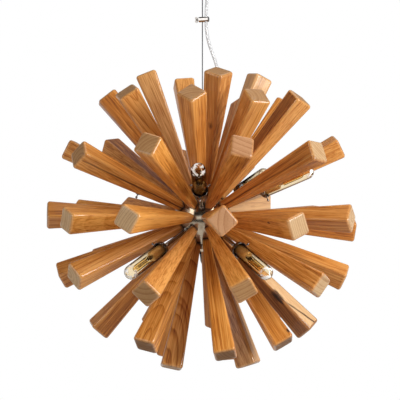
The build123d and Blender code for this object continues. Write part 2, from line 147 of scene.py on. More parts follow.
class ProngSettings(bpy.types.PropertyGroup):
    """Sizes and colours of the wooden prongs."""

    tip_side: bpy.props.FloatProperty(
        name="Tip side", description="Width of a prong at its tip", default=0.041, unit="LENGTH",
    )
    root_side: bpy.props.FloatProperty(
        name="Root side", description="Width of a prong at the hub", default=0.015, unit="LENGTH",
    )
    tip_edge: bpy.props.FloatProperty(
        name="Tip edge", description="Rounding of the long edges at the tip", default=0.0054, unit="LENGTH",
    )
    root_edge: bpy.props.FloatProperty(
        name="Root edge", description="Rounding of the long edges at the hub", default=0.0022, unit="LENGTH",
    )
    end_edge: bpy.props.FloatProperty(
        name="End edge", description="Rounding round the end face", default=0.0050, unit="LENGTH",
    )
    pale: bpy.props.FloatVectorProperty(
        name="Early wood", description="Palest colour of the side grain", default=(0.79, 0.360, 0.080),
        subtype="COLOR",
    )
    middle: bpy.props.FloatVectorProperty(
        name="Side grain", description="Middle colour of the side grain", default=(0.550, 0.184, 0.022),
        subtype="COLOR",
    )
    dark: bpy.props.FloatVectorProperty(
        name="Late wood", description="Darkest colour of the side grain", default=(0.225, 0.053, 0.0070),
        subtype="COLOR",
    )
    grey: bpy.props.FloatVectorProperty(
        name="Weathered grain", description="Greyer tan of some prongs", default=(0.34, 0.185, 0.085),
        subtype="COLOR",
    )
    sapwood: bpy.props.FloatVectorProperty(
        name="Sapwood", description="Pale outer wood of a few prongs", default=(0.86, 0.61, 0.35),
        subtype="COLOR",
    )


class LampSettings(bpy.types.PropertyGroup):
    """Sizes of the small lamps."""

    stem_radius: bpy.props.FloatProperty(
        name="Stem radius", description="Radius of the chrome stem", default=0.0040, unit="LENGTH",
    )
    collar_radius: bpy.props.FloatProperty(
        name="Collar radius", description="Outside of the collar", default=0.0150, unit="LENGTH",
    )
    glass_radius: bpy.props.FloatProperty(
        name="Glass radius", description="Outside of the glass cover", default=0.0135, unit="LENGTH",
    )
    glass_wall: bpy.props.FloatProperty(
        name="Glass wall", description="Thickness of the glass cover", default=0.0014, unit="LENGTH",
    )
    holder_radius: bpy.props.FloatProperty(
        name="Socket radius", description="Outside of the lamp socket", default=0.0094, unit="LENGTH",
    )
    capsule_radius: bpy.props.FloatProperty(
        name="Capsule radius", description="Outside of the small lamp", default=0.0066, unit="LENGTH",
    )
    knob_radius: bpy.props.FloatProperty(
        name="Knob radius", description="Radius of a thumb screw's ball", default=0.0023, unit="LENGTH",
    )


class CordSettings(bpy.types.PropertyGroup):
    """Sizes of the wire and the cord."""

    cord_diameter: bpy.props.FloatProperty(
        name="Cord diameter", description="Outside of the clear cord", default=0.006, unit="LENGTH",
    )
    core_radius: bpy.props.FloatProperty(
        name="Core radius", description="Radius of one core in the cord", default=0.00095, unit="LENGTH",
    )
    wire_diameter: bpy.props.FloatProperty(
        name="Wire diameter", description="Diameter of the steel wire", default=0.002, unit="LENGTH",
    )


class StageSettings(bpy.types.PropertyGroup):
    """Camera, light and floor."""

    camera_distance: bpy.props.FloatProperty(
        name="Camera distance", description="Hub centre to the camera", default=2.048, unit="LENGTH",
    )
    camera_height: bpy.props.FloatProperty(
        name="Camera elevation", description="Angle of the camera above the hub", default=np.radians(1.2),
        subtype="ANGLE",
    )
    lens: bpy.props.FloatProperty(
        name="Lens", description="Focal length in millimetres", default=94.5, unit="CAMERA",
    )
    floor_drop: bpy.props.FloatProperty(
        name="Floor", description="Height of the floor below the ceiling", default=2.7, unit="LENGTH",
    )
    sky: bpy.props.FloatProperty(
        name="Sky light", description="Strength of the even light from all sides", default=0.34,
    )
    dark_room: bpy.props.FloatProperty(
        name="Dark room", description="Strength of what metal mirrors from above and below", default=0.04,
    )


class Net:
    """Short hand for building the nodes of a new material or world."""

    def __init__(self, name, kind="materials"):
        self.owner = getattr(bpy.data, kind).new(name)
        self.owner.use_nodes = True
        self.tree = self.owner.node_tree
        self.tree.nodes.clear()

    def node(self, kind, **settings):
        made = self.tree.nodes.new(kind)
        for key, value in settings.items():
            setattr(made, key, value)
        return made

    def feed(self, value, socket):
        """Link an output to a socket, or set the socket to a constant."""
        if isinstance(value, bpy.types.NodeSocket):
            self.tree.links.new(value, socket)
        else:
            socket.default_value = value

    def feed_all(self, values, sockets):
        for value, socket in zip(values, sockets):
            self.feed(value, socket)

    def maths(self, operation, *values, clamp=False):
        made = self.node("ShaderNodeMath", operation=operation, use_clamp=clamp)
        self.feed_all(values, made.inputs)
        return made.outputs[0]

    def vector(self, operation, *values):
        made = self.node("ShaderNodeVectorMath", operation=operation)
        self.feed_all(values, made.inputs)
        return made.outputs["Value" if operation == "LENGTH" else "Vector"]

    def axes(self, vector):
        made = self.node("ShaderNodeSeparateXYZ")
        self.feed(vector, made.inputs[0])
        return made.outputs

    def attribute(self, name, kind="Fac"):
        return self.node("ShaderNodeAttribute", attribute_name=name).outputs[kind]

    def place(self):
        return self.node("ShaderNodeTexCoord").outputs["Object"]

    def facing(self):
        """From 0 where the surface looks at the viewer to 1 where it is seen edge on."""
        made = self.node("ShaderNodeLayerWeight")
        made.inputs["Blend"].default_value = 0.5
        return made.outputs["Facing"]

    def noise(self, place, stretch, detail=2.0, rough=0.5):
        made = self.node("ShaderNodeTexNoise", noise_dimensions="3D")
        self.feed(self.vector("MULTIPLY", place, stretch), made.inputs["Vector"])
        made.inputs["Scale"].default_value = 1.0
        made.inputs["Detail"].default_value = detail
        made.inputs["Roughness"].default_value = rough
        return made.outputs["Fac"]

    def band(self, value, low, high, to_low=0.0, to_high=1.0):
        """Smooth step of a value from one number to another."""
        made = self.node("ShaderNodeMapRange", interpolation_type="SMOOTHSTEP")
        self.feed_all((value, low, high, to_low, to_high), made.inputs)
        return made.outputs[0]

    def ramp(self, value, *stops):
        """Colours or greys at stops along a value."""
        made = self.node("ShaderNodeValToRGB")
        points = made.color_ramp.elements
        while len(points) < len(stops):
            points.new(0.5)
        for point, (position, colour) in zip(points, stops):
            point.position = position
            point.color = (*colour, 1.0) if hasattr(colour, "__len__") else (colour, colour, colour, 1.0)
        self.feed(value, made.inputs["Fac"])
        return made.outputs["Color"]

    def mix(self, share, first, second, blend="MIX"):
        """Two colours mixed."""
        made = self.node("ShaderNodeMix", data_type="RGBA", blend_type=blend)
        self.feed(share, made.inputs["Factor"])
        for colour, socket in zip((first, second), (made.inputs[6], made.inputs[7])):
            self.feed(colour if isinstance(colour, bpy.types.NodeSocket) else (*colour, 1.0), socket)
        return made.outputs[2]

    def lerp(self, share, first, second):
        """Two numbers mixed."""
        made = self.node("ShaderNodeMix", data_type="FLOAT")
        self.feed_all((share, first, second), (made.inputs[0], made.inputs[2], made.inputs[3]))
        return made.outputs[0]

    def shifted(self, value, noise, reach):
        """The value moved up and down by a noise about its middle."""
        return self.maths("ADD", value, self.maths("MULTIPLY", self.maths("SUBTRACT", noise, 0.5), reach))

    def raised(self, base, value, gain):
        """A base plus a share of a value."""
        return self.maths("ADD", base, self.maths("MULTIPLY", value, gain))

    def bump(self, height, strength, distance):
        made = self.node("ShaderNodeBump")
        made.inputs["Strength"].default_value = strength
        made.inputs["Distance"].default_value = distance
        self.feed(height, made.inputs["Height"])
        return made.outputs["Normal"]

    def end(self, shader, kind="ShaderNodeOutputMaterial"):
        """Link the last shader to the output."""
        self.tree.links.new(shader.outputs[0], self.node(kind).inputs["Surface"])
        return self.owner

    def surface(self, **sockets):
        shader = self.node("ShaderNodeBsdfPrincipled")
        for name, value in sockets.items():
            self.feed(value, shader.inputs[name.replace("_", " ")])
        return self.end(shader)


def growth_rings(net, place):
    """Share of late wood: the distance from the pith wanders slowly along the log and is counted in ring
    widths that vary, and each ring darkens slowly to its outer edge and ends sharply."""
    from_pith = net.vector("LENGTH", net.vector("MULTIPLY", place, (1.0, 1.0, 0.0)))
    reach = net.shifted(from_pith, net.noise(place, (11.0, 11.0, 2.6)), 0.009)
    years = net.maths("DIVIDE", reach, net.attribute("ring_width"))
    across = net.node("ShaderNodeCombineXYZ")
    net.feed(reach, across.inputs[0])
    net.feed(net.axes(place)[2], across.inputs[2])
    years = net.shifted(years, net.noise(across.outputs[0], (85.0, 85.0, 0.6), 1.0), 2.2)
    stops = (0.0, 0.10), (0.45, 0.16), (0.80, 0.62), (0.92, 1.0), (1.0, 0.10)
    return net.ramp(net.maths("FRACT", years), *stops)


def side_grain(net, prong, depth):
    """Colour of the long faces by depth of tone: a share of it greyer, a share of it pale sapwood, and
    lighter on the rounded edges, a painted highlight as well as wear."""
    side = net.ramp(depth, (0.0, prong.pale), (0.46, prong.middle), (1.0, prong.dark))
    grey = net.ramp(depth, (0.0, (0.56, 0.37, 0.205)), (0.46, prong.grey), (1.0, (0.135, 0.066, 0.030)))
    side = net.mix(net.attribute("wood_grey"), side, grey)
    sap_shade = net.ramp(depth, (0.0, 1.0), (0.6, (0.93, 0.88, 0.82)), (1.0, (0.80, 0.68, 0.56)))
    sap = net.mix(1.0, prong.sapwood, sap_shade, "MULTIPLY")
    colour = net.mix(net.attribute("wood_pale"), side, sap)
    # Painted highlight as well as wear: the rounded edges are mixed towards the early wood colour.
    return net.mix(net.maths("MULTIPLY", net.attribute("wood_edge"), 0.22), colour, prong.pale)


def end_grain(net, late, fibre, cloud):
    """Colour of the end face: its own tint, darker along the ring arcs."""
    depth = net.shifted(net.maths("MULTIPLY", late, 0.62), fibre, 0.60)
    depth = net.maths("ADD", net.shifted(depth, cloud, 0.50), 0.08, clamp=True)
    shade = net.ramp(depth, (0.0, 1.0), (0.5, (0.78, 0.70, 0.64)), (1.0, (0.50, 0.36, 0.28)))
    return net.mix(1.0, net.attribute("end_tint", "Color"), shade, "MULTIPLY")


def marked(net, colour, place, broad):
    """The colour with a wavering dark line, a ragged knot and a painted shade at the root laid over it."""
    off_line = net.shifted(net.attribute("wood_line"), net.noise(place, (26.0, 26.0, 11.0)), 2.8)
    line = net.band(net.maths("ABSOLUTE", off_line), 0.25, 1.0, 0.88, 0.0)
    line = net.maths("MULTIPLY", line, net.band(broad, 0.34, 0.56, 0.35, 1.0))
    line = net.maths("MULTIPLY", line, net.attribute("line_face"))
    colour = net.mix(line, colour, (0.060, 0.022, 0.012))
    off_knot = net.vector("LENGTH", net.attribute("wood_knot", "Vector"))
    off_knot = net.shifted(off_knot, net.noise(place, (240.0, 240.0, 48.0), 2.0, 0.6), 1.5)
    heart = net.ramp(off_knot, (0.35, (0.024, 0.010, 0.006)), (0.95, (0.115, 0.040, 0.014)))
    colour = net.mix(net.band(off_knot, 0.55, 1.30, 0.95, 0.0), colour, heart)
    # Painted shade: the root is darkened where the prong meets the hub.
    return net.mix(net.maths("MULTIPLY", net.attribute("wood_root"), 0.85), colour, (0.020, 0.009, 0.005))


def wood_finish(prong):
    """Satin oiled hardwood cut from a log: the colour follows growth rings about a pith beside each prong,
    with broad streaks, fine fibres and short pores along the grain, ring arcs on the end face, paler rounded
    edges that are a painted highlight as well as wear, painted shade where the prong meets the hub and on a
    few faces, and here and there a dark line, a knot or pale sapwood."""
    net = Net("oiled_wood")
    place = net.attribute("wood_place", "Vector")
    along = net.attribute("fibre_place", "Vector")
    late = growth_rings(net, place)
    fibre = net.noise(along, (400.0, 400.0, 7.0), 3.0, 0.65)
    streak = net.noise(along, (175.0, 175.0, 3.6), 2.0, 0.6)
    broad = net.noise(along, (42.0, 42.0, 1.8), 2.0, 0.55)
    cloud = net.noise(along, (26.0, 26.0, 9.0))
    pores = net.band(net.noise(along, (640.0, 640.0, 22.0), 1.0), 0.56, 0.66)
    depth = net.maths("MULTIPLY", late, net.attribute("ring_depth"))
    for noise, reach in ((fibre, 1.25), (streak, 0.75), (broad, 0.75), (cloud, 0.45)):
        depth = net.shifted(depth, noise, reach)
    depth = net.raised(depth, pores, 0.30)
    # The tone is the prong's own tone plus, on a shaded face, painted shade.
    depth = net.maths("ADD", depth, net.maths("ADD", net.attribute("wood_tone"), 0.26), clamp=True)
    on_end = net.attribute("wood_end")
    colour = net.mix(on_end, side_grain(net, prong, depth), end_grain(net, late, fibre, cloud))
    grain = net.maths("ADD", net.maths("MULTIPLY", fibre, 0.7), net.maths("MULTIPLY", pores, -0.6))
    return net.surface(
        Base_Color=marked(net, colour, place, broad),
        Roughness=net.raised(0.40, net.maths("ADD", fibre, late), 0.07),
        Specular_IOR_Level=net.lerp(on_end, 0.22, 0.06),
        Normal=net.bump(grain, 0.20, 0.0004),
        Coat_Weight=net.lerp(net.attribute("wood_edge"), net.lerp(on_end, 0.24, 0.08), 1.0),
        Coat_Roughness=0.10,
    )


def cloudy(name, scale, low, high, rough, metal=1.0, detail=3.0):
    """Plain finish whose tint runs between two stops of a soft cloud. Its roughness is a number, or a base
    and the share of the cloud that is added to it."""
    net = Net(name)
    cloud = net.noise(net.place(), (scale, scale, scale), detail, 0.6)
    if isinstance(rough, tuple):
        rough = net.raised(rough[0], cloud, rough[1])
    return net.surface(Base_Color=net.ramp(cloud, low, high), Metallic=metal, Roughness=rough)


def dull_chrome_finish():
    """Dull blasted chrome of the ceiling fitting, with faint cloudy smears."""
    tints = (0.3, (0.20, 0.197, 0.194)), (0.8, (0.27, 0.266, 0.262))
    return cloudy("satin_chrome", 90.0, *tints, (0.70, 0.10))


def dark_chrome_finish():
    """Smoky polished chrome of the lamp fittings, a little browner in places."""
    tints = (0.3, (0.27, 0.255, 0.24)), (0.8, (0.42, 0.40, 0.38))
    return cloudy("dark_chrome", 120.0, *tints, (0.06, 0.08))


def warm_chrome_finish():
    """Polished nickel of the hub, tinted warm: a painted reflection of the wood round it, hazier in clouds.
    """
    tints = (0.35, (0.29, 0.215, 0.145)), (0.7, (0.60, 0.50, 0.37))
    return cloudy("warm_chrome", 70.0, *tints, (0.08, 0.14))


def black_chrome_finish():
    """Black chrome of the collars, bright only where it mirrors a light."""
    tints = (0.3, (0.16, 0.15, 0.14)), (0.8, (0.30, 0.28, 0.26))
    return cloudy("black_chrome", 160.0, *tints, (0.08, 0.08), detail=2.0)


def socket_finish():
    """Warm gold sleeve of the socket, faintly clouded."""
    tints = (0.3, (0.56, 0.33, 0.11)), (0.8, (0.74, 0.49, 0.21))
    return cloudy("socket_sleeve", 220.0, *tints, (0.24, 0.12), metal=0.45)


def filament_finish():
    """Heat-tinted wire."""
    tints = (0.3, (0.045, 0.024, 0.011)), (0.8, (0.13, 0.070, 0.028))
    return cloudy("filament_wire", 700.0, *tints, 0.40, metal=0.6, detail=2.0)


def lead_finish():
    """Dark leads and foils in the capsule's pressed foot."""
    tints = (0.3, (0.030, 0.026, 0.022)), (0.8, (0.11, 0.095, 0.08))
    return cloudy("dark_leads", 500.0, *tints, 0.38, metal=0.6, detail=2.0)


def core_finish():
    """Tinned cores in the cord, pale grey."""
    tints = (0.3, (0.80, 0.80, 0.80)), (0.8, (0.92, 0.92, 0.92))
    return cloudy("tinned_cores", 400.0, *tints, 0.42, metal=0.0, detail=2.0)


def steel_finish():
    """Bright drawn steel with fine lines along its length."""
    net = Net("drawn_steel")
    lines = net.noise(net.place(), (900.0, 900.0, 40.0), 3.0, 0.6)
    tint = net.ramp(lines, (0.3, (0.40, 0.41, 0.42)), (0.75, (0.62, 0.63, 0.65)))
    rough = net.raised(0.22, lines, 0.2)
    return net.surface(Base_Color=tint, Metallic=1.0, Roughness=rough, Normal=net.bump(lines, 0.15, 0.0002))


def wire_finish():
    """Twisted steel wire: strands that wind round the axis show as slanting ridges."""
    net = Net("twisted_wire")
    x, y, z = net.axes(net.place())
    strands = net.maths("MULTIPLY", net.maths("ARCTAN2", y, x), 6.0)
    ridge = net.maths("SINE", net.maths("ADD", strands, net.maths("MULTIPLY", z, 900.0)))
    height = net.maths("ADD", net.maths("MULTIPLY", ridge, 0.5), 0.5)
    tint = net.ramp(height, (0.0, (0.045, 0.045, 0.048)), (1.0, (0.14, 0.14, 0.145)))
    return net.surface(Base_Color=tint, Metallic=0.7, Roughness=0.45, Normal=net.bump(ridge, 0.3, 0.0001))


def tinted_glass(name, tint, rim, bend, painted_glint=0.0):
    """Clear tinted glass whose colour is painted darker towards a rim colour where it is seen edge on: a
    painted dark rim in place of the reflections at its edges. A strength above 0 lays painted white glints of
    that
    strength in a ring about a domed end: a painted reflection."""
    net = Net(name)
    facing = net.facing()
    # Painted dark rim: the colour turns to the rim colour where the glass is seen edge on.
    colour = net.mix(net.band(facing, 0.45, 0.88), tint, rim)
    clear = 1.0
    if painted_glint > 0:
        # Painted glints: white patches in a ring about the dome, laid into the colour.
        patches = net.band(net.noise(net.place(), (190.0, 190.0, 190.0), 1.0), 0.49, 0.54)
        ring = net.maths("MULTIPLY", net.band(facing, 0.06, 0.20), net.band(facing, 0.62, 0.78, 1.0, 0.0))
        white = net.maths("MULTIPLY", net.maths("MULTIPLY", net.attribute("dome"), patches), ring)
        white = net.maths("MULTIPLY", white, painted_glint)
        colour = net.mix(white, colour, WHITE)
        clear = net.maths("SUBTRACT", 1.0, white)
    return net.surface(
        Base_Color=colour, Roughness=0.0, IOR=bend, Transmission_Weight=clear,
        Coat_Weight=0.12, Coat_Roughness=0.02,
    )


def cover_glass_finish():
    """Nearly clear glass of the covers, with painted glints on the dome and a painted dark rim."""
    return tinted_glass("cover_glass", (0.94, 0.85, 0.69), (0.085, 0.050, 0.026), 1.02, 0.95)


def capsule_glass_finish():
    """Warmer glass of the small lamps, with a painted dark rim."""
    return tinted_glass("capsule_glass", (0.93, 0.79, 0.52), (0.030, 0.016, 0.008), 1.012)


def cord_finish():
    """Clear soft plastic sheath, painted greyer where it is seen edge on: a painted dark rim in place of its
    reflections.
    """
    net = Net("clear_sheath")
    haze = net.noise(net.place(), (260.0, 260.0, 40.0))
    tint = net.ramp(haze, (0.3, (0.84, 0.84, 0.845)), (0.8, (0.92, 0.92, 0.92)))
    # Painted dark rim: greyer where the sheath is seen edge on.
    tint = net.mix(net.band(net.facing(), 0.25, 0.80), tint, (0.30, 0.315, 0.335))
    rough = net.raised(0.10, haze, 0.10)
    return net.surface(Base_Color=tint, Roughness=rough, IOR=1.10, Transmission_Weight=0.55)


def plastic_finish():
    """Off-white moulded plastic with a fine spark texture."""
    net = Net("moulded_plastic")
    spark = net.noise(net.place(), (1400.0, 1400.0, 1400.0), 2.0, 0.6)
    tint = net.ramp(spark, (0.3, (0.78, 0.77, 0.73)), (0.8, (0.86, 0.85, 0.82)))
    return net.surface(Base_Color=tint, Roughness=0.48, Normal=net.bump(spark, 0.12, 0.0002))


FINISHES = {}


def finish(recipe, *settings):
    """The finish that a recipe makes, made once and shared."""
    if recipe not in FINISHES:
        FINISHES[recipe] = recipe(*settings)
    return FINISHES[recipe]


def aim(azimuth, latitude, turn=0.0):
    """Rows side, up and outward of a frame at the hub: outward points along the azimuth and latitude, and
    side is level, turned about outward."""
    across, up, spin = (np.radians(np.asarray(value, float)) for value in (azimuth, latitude, turn))
    across, up, spin = np.broadcast_arrays(across, up, spin)
    out = np.stack([np.cos(up) * np.sin(across), -np.cos(up) * np.cos(across), np.sin(up)], -1)
    east = np.stack([np.cos(across), np.sin(across), np.zeros_like(across)], -1)
    north = np.cross(out, east)
    side = east * np.cos(spin)[..., None] + north * np.sin(spin)[..., None]
    return np.stack([side, np.cross(out, side), out], -2)


def prong_frames(row):
    """Frames of a row's prongs."""
    azimuth, latitude, turn = np.array(PRONG_ROWS[row], float).T
    return aim(azimuth, latitude, turn)


def lamp_frames():
    """Frames of all lamps, ring by ring."""
    frames = []
    for ring, (latitude, first) in LAMP_RINGS.items():
        changes = [LAMP_HAND_SET.get((ring, index), (0.0, 0.0)) for index in range(LAMPS_PER_RING)]
        sideways, upward = np.array(changes).T
        azimuths = first + np.arange(LAMPS_PER_RING) * 360.0 / LAMPS_PER_RING + sideways
        frames.append(aim(azimuths, latitude + upward))
    return np.concatenate(frames)


def ring_quads(rings, around):
    """Quads between neighbouring rings of a grid that closes round."""
    row = np.arange(rings - 1)[:, None] * around
    col = np.arange(around)[None, :]
    after = (col + 1) % around
    return np.stack([row + col, row + after, row + around + after, row + around + col], -1).reshape(-1, 4)


def fan(ring, centre, flip=False):
    """Triangles from a ring of point numbers to one centre point."""
    after = np.roll(ring, -1)
    pair = (after, ring) if flip else (ring, after)
    return np.stack([*pair, np.full_like(ring, centre)], -1)


def closed_rings(points, around, poles):
    """Surface of points that run ring by ring: quads between the rings and a fan to a pole at each end."""
    count = len(points)
    first = np.arange(around)
    caps = np.concatenate([fan(first, count, True), fan(first + count - around, count + 1)])
    return np.concatenate([points, poles]), [ring_quads(count // around, around), caps]


def revolved(profile, around):
    """Points of each (radius, height) of a profile, taken evenly round the Z axis."""
    angle = np.arange(around) * 2 * np.pi / around
    radius, height = profile[:, :1], profile[:, 1:]
    return np.stack([radius * np.cos(angle), radius * np.sin(angle), height + 0 * angle], -1).reshape(-1, 3)


def turned(profile, around=32):
    """Surface of revolution of a profile of (radius, height), closed on the axis by a fan at each end."""
    profile = np.asarray(profile, float)
    poles = [[0, 0, profile[0, 1]], [0, 0, profile[-1, 1]]]
    return closed_rings(revolved(profile, around), around, poles)


def turned_shell(profile, top, around=40):
    """Closed cup of revolution: the profile runs from the foot up the outside to the crown, which a fan
    closes at number top, then from the crown's underside, closed by a second fan, down the inside back to
    the foot."""
    rings = revolved(profile, around)
    count = len(profile)
    outside = ring_quads(top, around)
    inside = ring_quads(count - top, around) + top * around
    first = np.arange(around)
    last = first + (count - 1) * around
    foot = np.stack([last, np.roll(last, -1), np.roll(first, -1), first], -1)
    poles = np.array([[0, 0, profile[top - 1, 1]], [0, 0, profile[top, 1]]])
    crown_out, crown_in = (top - 1) * around + first, top * around + first
    caps = np.concatenate([fan(crown_out, len(rings)), fan(crown_in, len(rings) + 1, True)])
    return np.concatenate([rings, poles]), [outside, inside, foot, caps]


def rounded(corners, radii, steps=5):
    """Profile with each inner corner replaced by an arc of its radius: the arc leaves each side at radius
    times the tangent of half the turn and its points are spread evenly over the turn."""
    corners = np.asarray(corners, float)
    line = [corners[0]]
    for before, here, after, radius in zip(corners, corners[1:], corners[2:], radii):
        into = (here - before) / np.linalg.norm(here - before)
        away = (after - here) / np.linalg.norm(after - here)
        bend = np.arctan2(into[0] * away[1] - into[1] * away[0], into @ away)
        start = here - into * radius * np.tan(abs(bend) / 2)
        normal = np.array([-into[1], into[0]]) * np.sign(bend)
        sweep = np.linspace(0, abs(bend), steps)[:, None]
        line.extend(start + radius * (into * np.sin(sweep) + normal * (1 - np.cos(sweep))))
    line.append(corners[-1])
    return np.array(line)


def ball_arc(radius, centre, start, stop, steps):
    """Points of a circular profile about (0, centre), from one angle above the level to another."""
    angle = np.radians(np.linspace(start, stop, steps))
    return np.stack([radius * np.cos(angle), centre + radius * np.sin(angle)], -1)


def rounded_bar(half_x, half_y, edge, height, steps=6, support=0.0007):
    """Bar of rounded rectangular rings: a ring's point is its corner centre plus the edge radius along the
    corner's arc, with one point just past each arc so that the flats shade flat. The two ends are closed by
    fans."""
    measures = half_x, half_y, edge, height
    half_x, half_y, edge, height = (np.asarray(value, float)[:, None] for value in measures)
    corner = np.arange(4).repeat(steps + 3)
    sign_x = np.where((corner == 0) | (corner == 3), 1, -1)
    sign_y = np.where(corner < 2, 1, -1)
    arc = np.tile(np.concatenate([[0.0], np.linspace(0, 90, steps + 1), [90.0]]), 4) + 90 * corner
    past = np.tile(np.concatenate([[-1.0], np.zeros(steps + 1), [1.0]]), 4)
    arc = np.radians(arc)
    room = np.minimum(support, 0.4 * (np.minimum(half_x, half_y) - edge))
    x = (half_x - edge) * sign_x + edge * np.cos(arc) - past * room * np.sin(arc)
    y = (half_y - edge) * sign_y + edge * np.sin(arc) + past * room * np.cos(arc)
    points = np.stack([x, y, height + 0 * x], -1).reshape(-1, 3)
    return closed_rings(points, x.shape[1], [[0, 0, height[0, 0]], [0, 0, height[-1, 0]]])


def unit(vectors):
    """Vectors scaled to length 1."""
    return vectors / np.linalg.norm(vectors, axis=1, keepdims=True)


def tube(path, radius, around=8):
    """Round tube along a path: circles square to the path, all turned by the same slanting direction, and
    closed by a fan at each end."""
    path = np.asarray(path, float)
    along = unit(np.gradient(path, axis=0))
    bearing = unit(np.cross(along, [0.31, 0.95, 0.05]))
    other = np.cross(along, bearing)
    angle = (np.arange(around) * 2 * np.pi / around)[None, :, None]
    spokes = bearing[:, None] * np.cos(angle) + other[:, None] * np.sin(angle)
    return closed_rings((path[:, None] + radius * spokes).reshape(-1, 3), around, path[[0, -1]])


def joined(*shapes):
    """Several shapes as one, with their point numbers moved on."""
    points, faces, count = [], [], 0
    for these, groups in shapes:
        points.append(these)
        faces.extend(group + count for group in groups)
        count += len(these)
    return np.concatenate(points), faces


def laid_out(shape, spin, lift, out):
    """Shape laid along X from the axis, moved out, turned about Z by spin degrees and lifted."""
    points, faces = shape
    points = np.stack([points[:, 2] + out, points[:, 1], -points[:, 0]], -1)
    turn = np.radians(spin)
    across = np.array([[np.cos(turn), np.sin(turn), 0], [-np.sin(turn), np.cos(turn), 0], [0, 0, 1]])
    return points @ across + [0, 0, lift], faces


def at_places(shape, frames):
    """The shape once at every frame of the hub."""
    points, faces = shape
    placed = HUB + np.einsum("mk,nkj->nmj", points, frames)
    steps = np.arange(len(frames)) * len(points)
    groups = [(group[None] + steps[:, None, None]).reshape(-1, group.shape[1]) for group in faces]
    return placed.reshape(-1, 3), groups


def settle(made, material, nodes=()):
    """Give an object its finish, and let it ride on the lamp's body and stand for its CAD nodes."""
    made.data.materials.append(material)
    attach(made, "lamp")
    if nodes:
        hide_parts(*nodes)


def piece(name, shape, material, slot, nodes=(), **attributes):
    """One finished object from points and faces, smooth shaded, with numbers or vectors at its points."""
    points, faces = shape
    mesh = bpy.data.meshes.new(name)
    mesh.from_pydata(points.tolist(), [], [face for group in faces for face in group.tolist()])
    for key, values in attributes.items():
        kind, field = ("FLOAT_VECTOR", "vector") if values.ndim == 2 else ("FLOAT", "value")
        mesh.attributes.new(key, kind, "POINT").data.foreach_set(field, values.astype(np.float32).ravel())
    mesh.shade_smooth()
    mesh.validate()
    made = bpy.data.objects.new(name, mesh)
    bpy.context.scene.collection.objects.link(made)
    settle(made, material, nodes)
    return made


def dress(material, *nodes):
    """Give CAD nodes a finish."""
    for node in nodes:
        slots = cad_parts[node].data.materials
        slots.clear()
        slots.append(material)


# Kinds of end grain.
END_TINTS = {
    "tan": (0.425, 0.235, 0.100), "beige": (0.60, 0.40, 0.215), "pink": (0.51, 0.27, 0.135),
    "grey": (0.35, 0.22, 0.125), "brown": (0.25, 0.118, 0.040),
}
